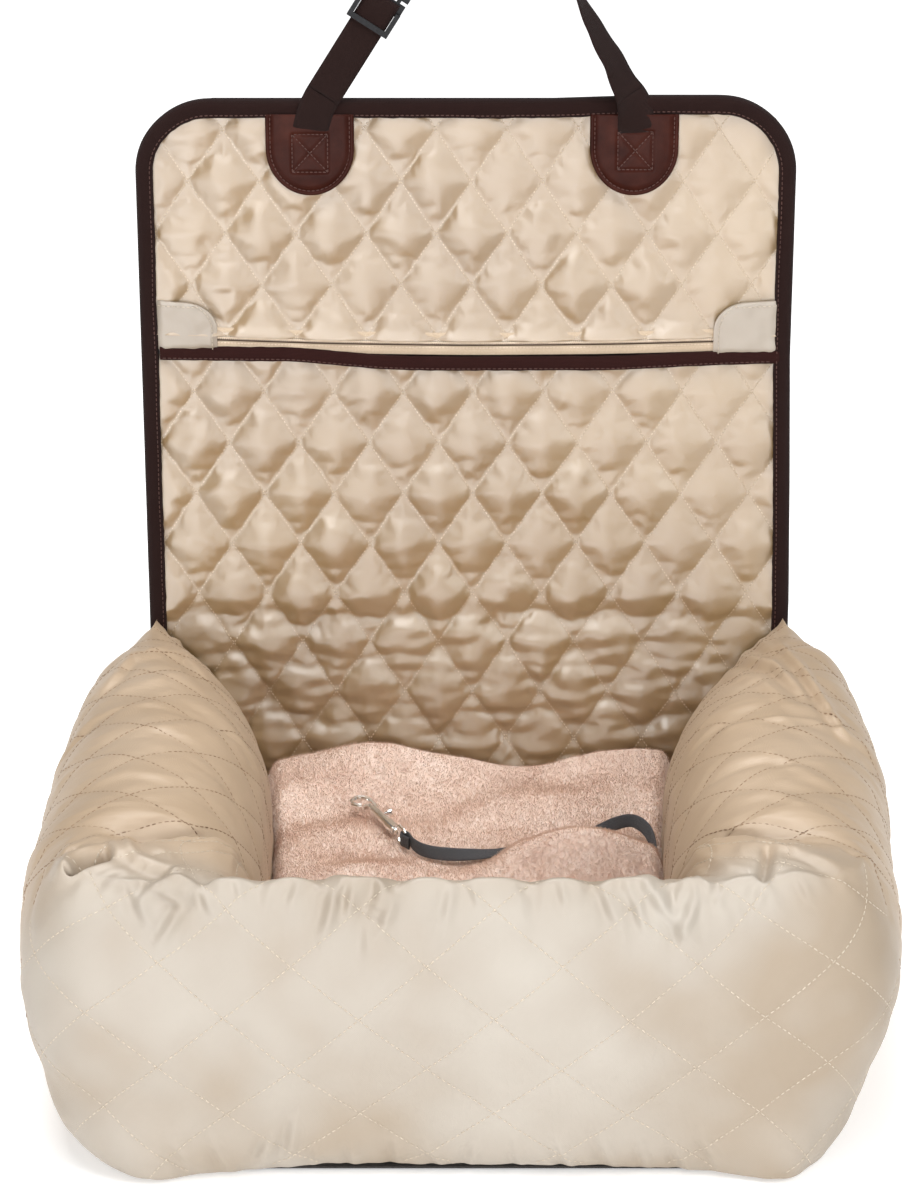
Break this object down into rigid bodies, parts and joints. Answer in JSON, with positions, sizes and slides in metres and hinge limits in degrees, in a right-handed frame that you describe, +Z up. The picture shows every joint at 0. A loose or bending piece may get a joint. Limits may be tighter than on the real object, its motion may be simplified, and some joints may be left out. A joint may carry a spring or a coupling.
{
  "type": "dog car seat",
  "caption": "Quilted bolster bed for a dog on a car seat, with a folding back panel, zipped pocket, headrest strap with buckle, and a clip-on tether.",
  "frame": {"origin": "middle of the bed's underside, on the seat", "axes": "+Z up, -Y towards the front of the bed, +X to the viewer's right when facing it"},
  "size_m": [0.6068, 0.5794, 0.7786],
  "materials": {
    "satin_quilt": "quilted champagne satin",
    "satin_light": "pale satin",
    "brown_binding": "dark brown grosgrain",
    "brown_leather": "glossy brown",
    "pink_plush": "long soft pile",
    "nonslip_fabric": "dark dotted non-slip cloth",
    "rear_lining": "plain woven",
    "foam": "open-cell foam",
    "fibre_filling": "loose fibre",
    "stiffener_board": "plain board",
    "zip_beige": "nylon coil",
    "black_plastic": "moulded",
    "grey_webbing": "ribbed webbing",
    "polished_steel": "polished plating"
  },
  "bodies": {
    "base": {"nonslip_base_sheet": "nonslip_fabric", "floor_foam_pad": "foam", "plush_mat": "pink_plush", "front_bolster_cover": "satin_quilt", "left_bolster_cover": "satin_quilt", "right_bolster_cover": "satin_quilt", "back_wall_quilt": "satin_quilt", "fold_strip": "satin_quilt", "front_bolster_filling": "fibre_filling", "left_bolster_filling": "fibre_filling", "right_bolster_filling": "fibre_filling", "back_wall_board": "stiffener_board", "back_wall_lining": "rear_lining", "snap_swivel_eye": "polished_steel", "tether_webbing": "grey_webbing", "tether_anchor_tab": "grey_webbing"},
    "panel": {"panel_quilt_lower": "satin_quilt", "panel_quilt_upper": "satin_quilt", "panel_board": "stiffener_board", "panel_lining": "rear_lining", "pocket_lining": "rear_lining", "edge_binding": "brown_binding", "pocket_band": "brown_binding", "zip_tape_upper": "zip_beige", "zip_tape_lower": "zip_beige", "zip_coil_upper": "zip_beige", "zip_coil_lower": "zip_beige", "zip_stop_left": "polished_steel", "zip_stop_right": "polished_steel", "zip_tab_left": "satin_light", "zip_tab_right": "satin_light", "leather_patch_left": "brown_leather", "leather_patch_right": "brown_leather", "strap_base_left": "brown_binding", "strap_base_right": "brown_binding"},
    "zip_slider": {"zip_slider": "polished_steel"},
    "zip_pull": {"zip_pull": "polished_steel"},
    "strap_left": {"strap_left_web": "brown_binding"},
    "strap_right": {"strap_right_web": "brown_binding", "buckle_socket": "black_plastic"},
    "clip": {"buckle_clip": "black_plastic"},
    "prong_left": {"clip_prong_left": "black_plastic"},
    "prong_right": {"clip_prong_right": "black_plastic"},
    "snap_hook": {"snap_hook_body": "polished_steel", "snap_spring": "polished_steel"},
    "snap_bolt": {"snap_bolt": "polished_steel"},
    "adjuster": {"tether_adjuster": "black_plastic"}
  },
  "joints": [
    {"name": "panel_fold", "type": "hinge", "parent": "base", "child": "panel", "pos_m": [0, 0.25363, 0.18971], "axis": [1, 0, 0], "range_deg": [-88, 74]},
    {"name": "zip_slide", "type": "slide", "parent": "panel", "child": "zip_slider", "axis": [-1, 0, 0], "range_m": [0, 0.4]},
    {"name": "zip_pull_lift", "type": "hinge", "parent": "zip_slider", "child": "zip_pull", "pos_m": [0.2106, 0.26715, 0.41138], "axis": [0, 0.0872, 0.9962], "range_deg": [0, 5]},
    {"name": "strap_swing", "type": "hinge", "parent": "panel", "child": "strap_right", "pos_m": [0, 0.27998, 0.60339], "axis": [1, 0, 0], "range_deg": [-80, 125]},
    {"name": "strap_left_swing", "type": "hinge", "parent": "panel", "child": "strap_left", "pos_m": [0, 0.27998, 0.60339], "axis": [1, 0, 0], "range_deg": [-80, 125]},
    {"name": "clip_release", "type": "slide", "parent": "strap_left", "child": "clip", "axis": [-0.5373, -0.0735, -0.8402], "range_m": [0, 0.036]},
    {"name": "prong_left_squeeze", "type": "hinge", "parent": "clip", "child": "prong_left", "pos_m": [-0.07194, 0.28709, 0.68467], "axis": [0, 0.9962, -0.0872], "range_deg": [0, 5], "stiffness_Nm_per_rad": 0.06, "springref_deg": -1.15},
    {"name": "prong_right_squeeze", "type": "hinge", "parent": "clip", "child": "prong_right", "pos_m": [-0.05356, 0.28607, 0.673], "axis": [0, -0.9962, 0.0872], "range_deg": [0, 5], "stiffness_Nm_per_rad": 0.06, "springref_deg": -1.15},
    {"name": "snap_swivel", "type": "hinge", "parent": "base", "child": "snap_hook", "pos_m": [-0.056, 0.095, 0.0755], "axis": [-0.4631, 0.8863, 0], "continuous": true},
    {"name": "snap_bolt_pull", "type": "slide", "parent": "snap_hook", "child": "snap_bolt", "axis": [0.4631, -0.8863, 0], "range_m": [0, 0.0048], "stiffness_N_per_m": 150, "springref_m": -0.003, "deforming": ["snap_spring"]},
    {"name": "adjuster_slide", "type": "slide", "parent": "base", "child": "adjuster", "axis": [-0.9461, -0.3238, -0.0105], "range_m": [-0.012, 0.012]}
  ],
  "couplings": [
    {"joint": "strap_left_swing", "follows": "strap_swing", "ratio": 1},
    {"joint": "prong_right_squeeze", "follows": "prong_left_squeeze", "ratio": 1}
  ]
}
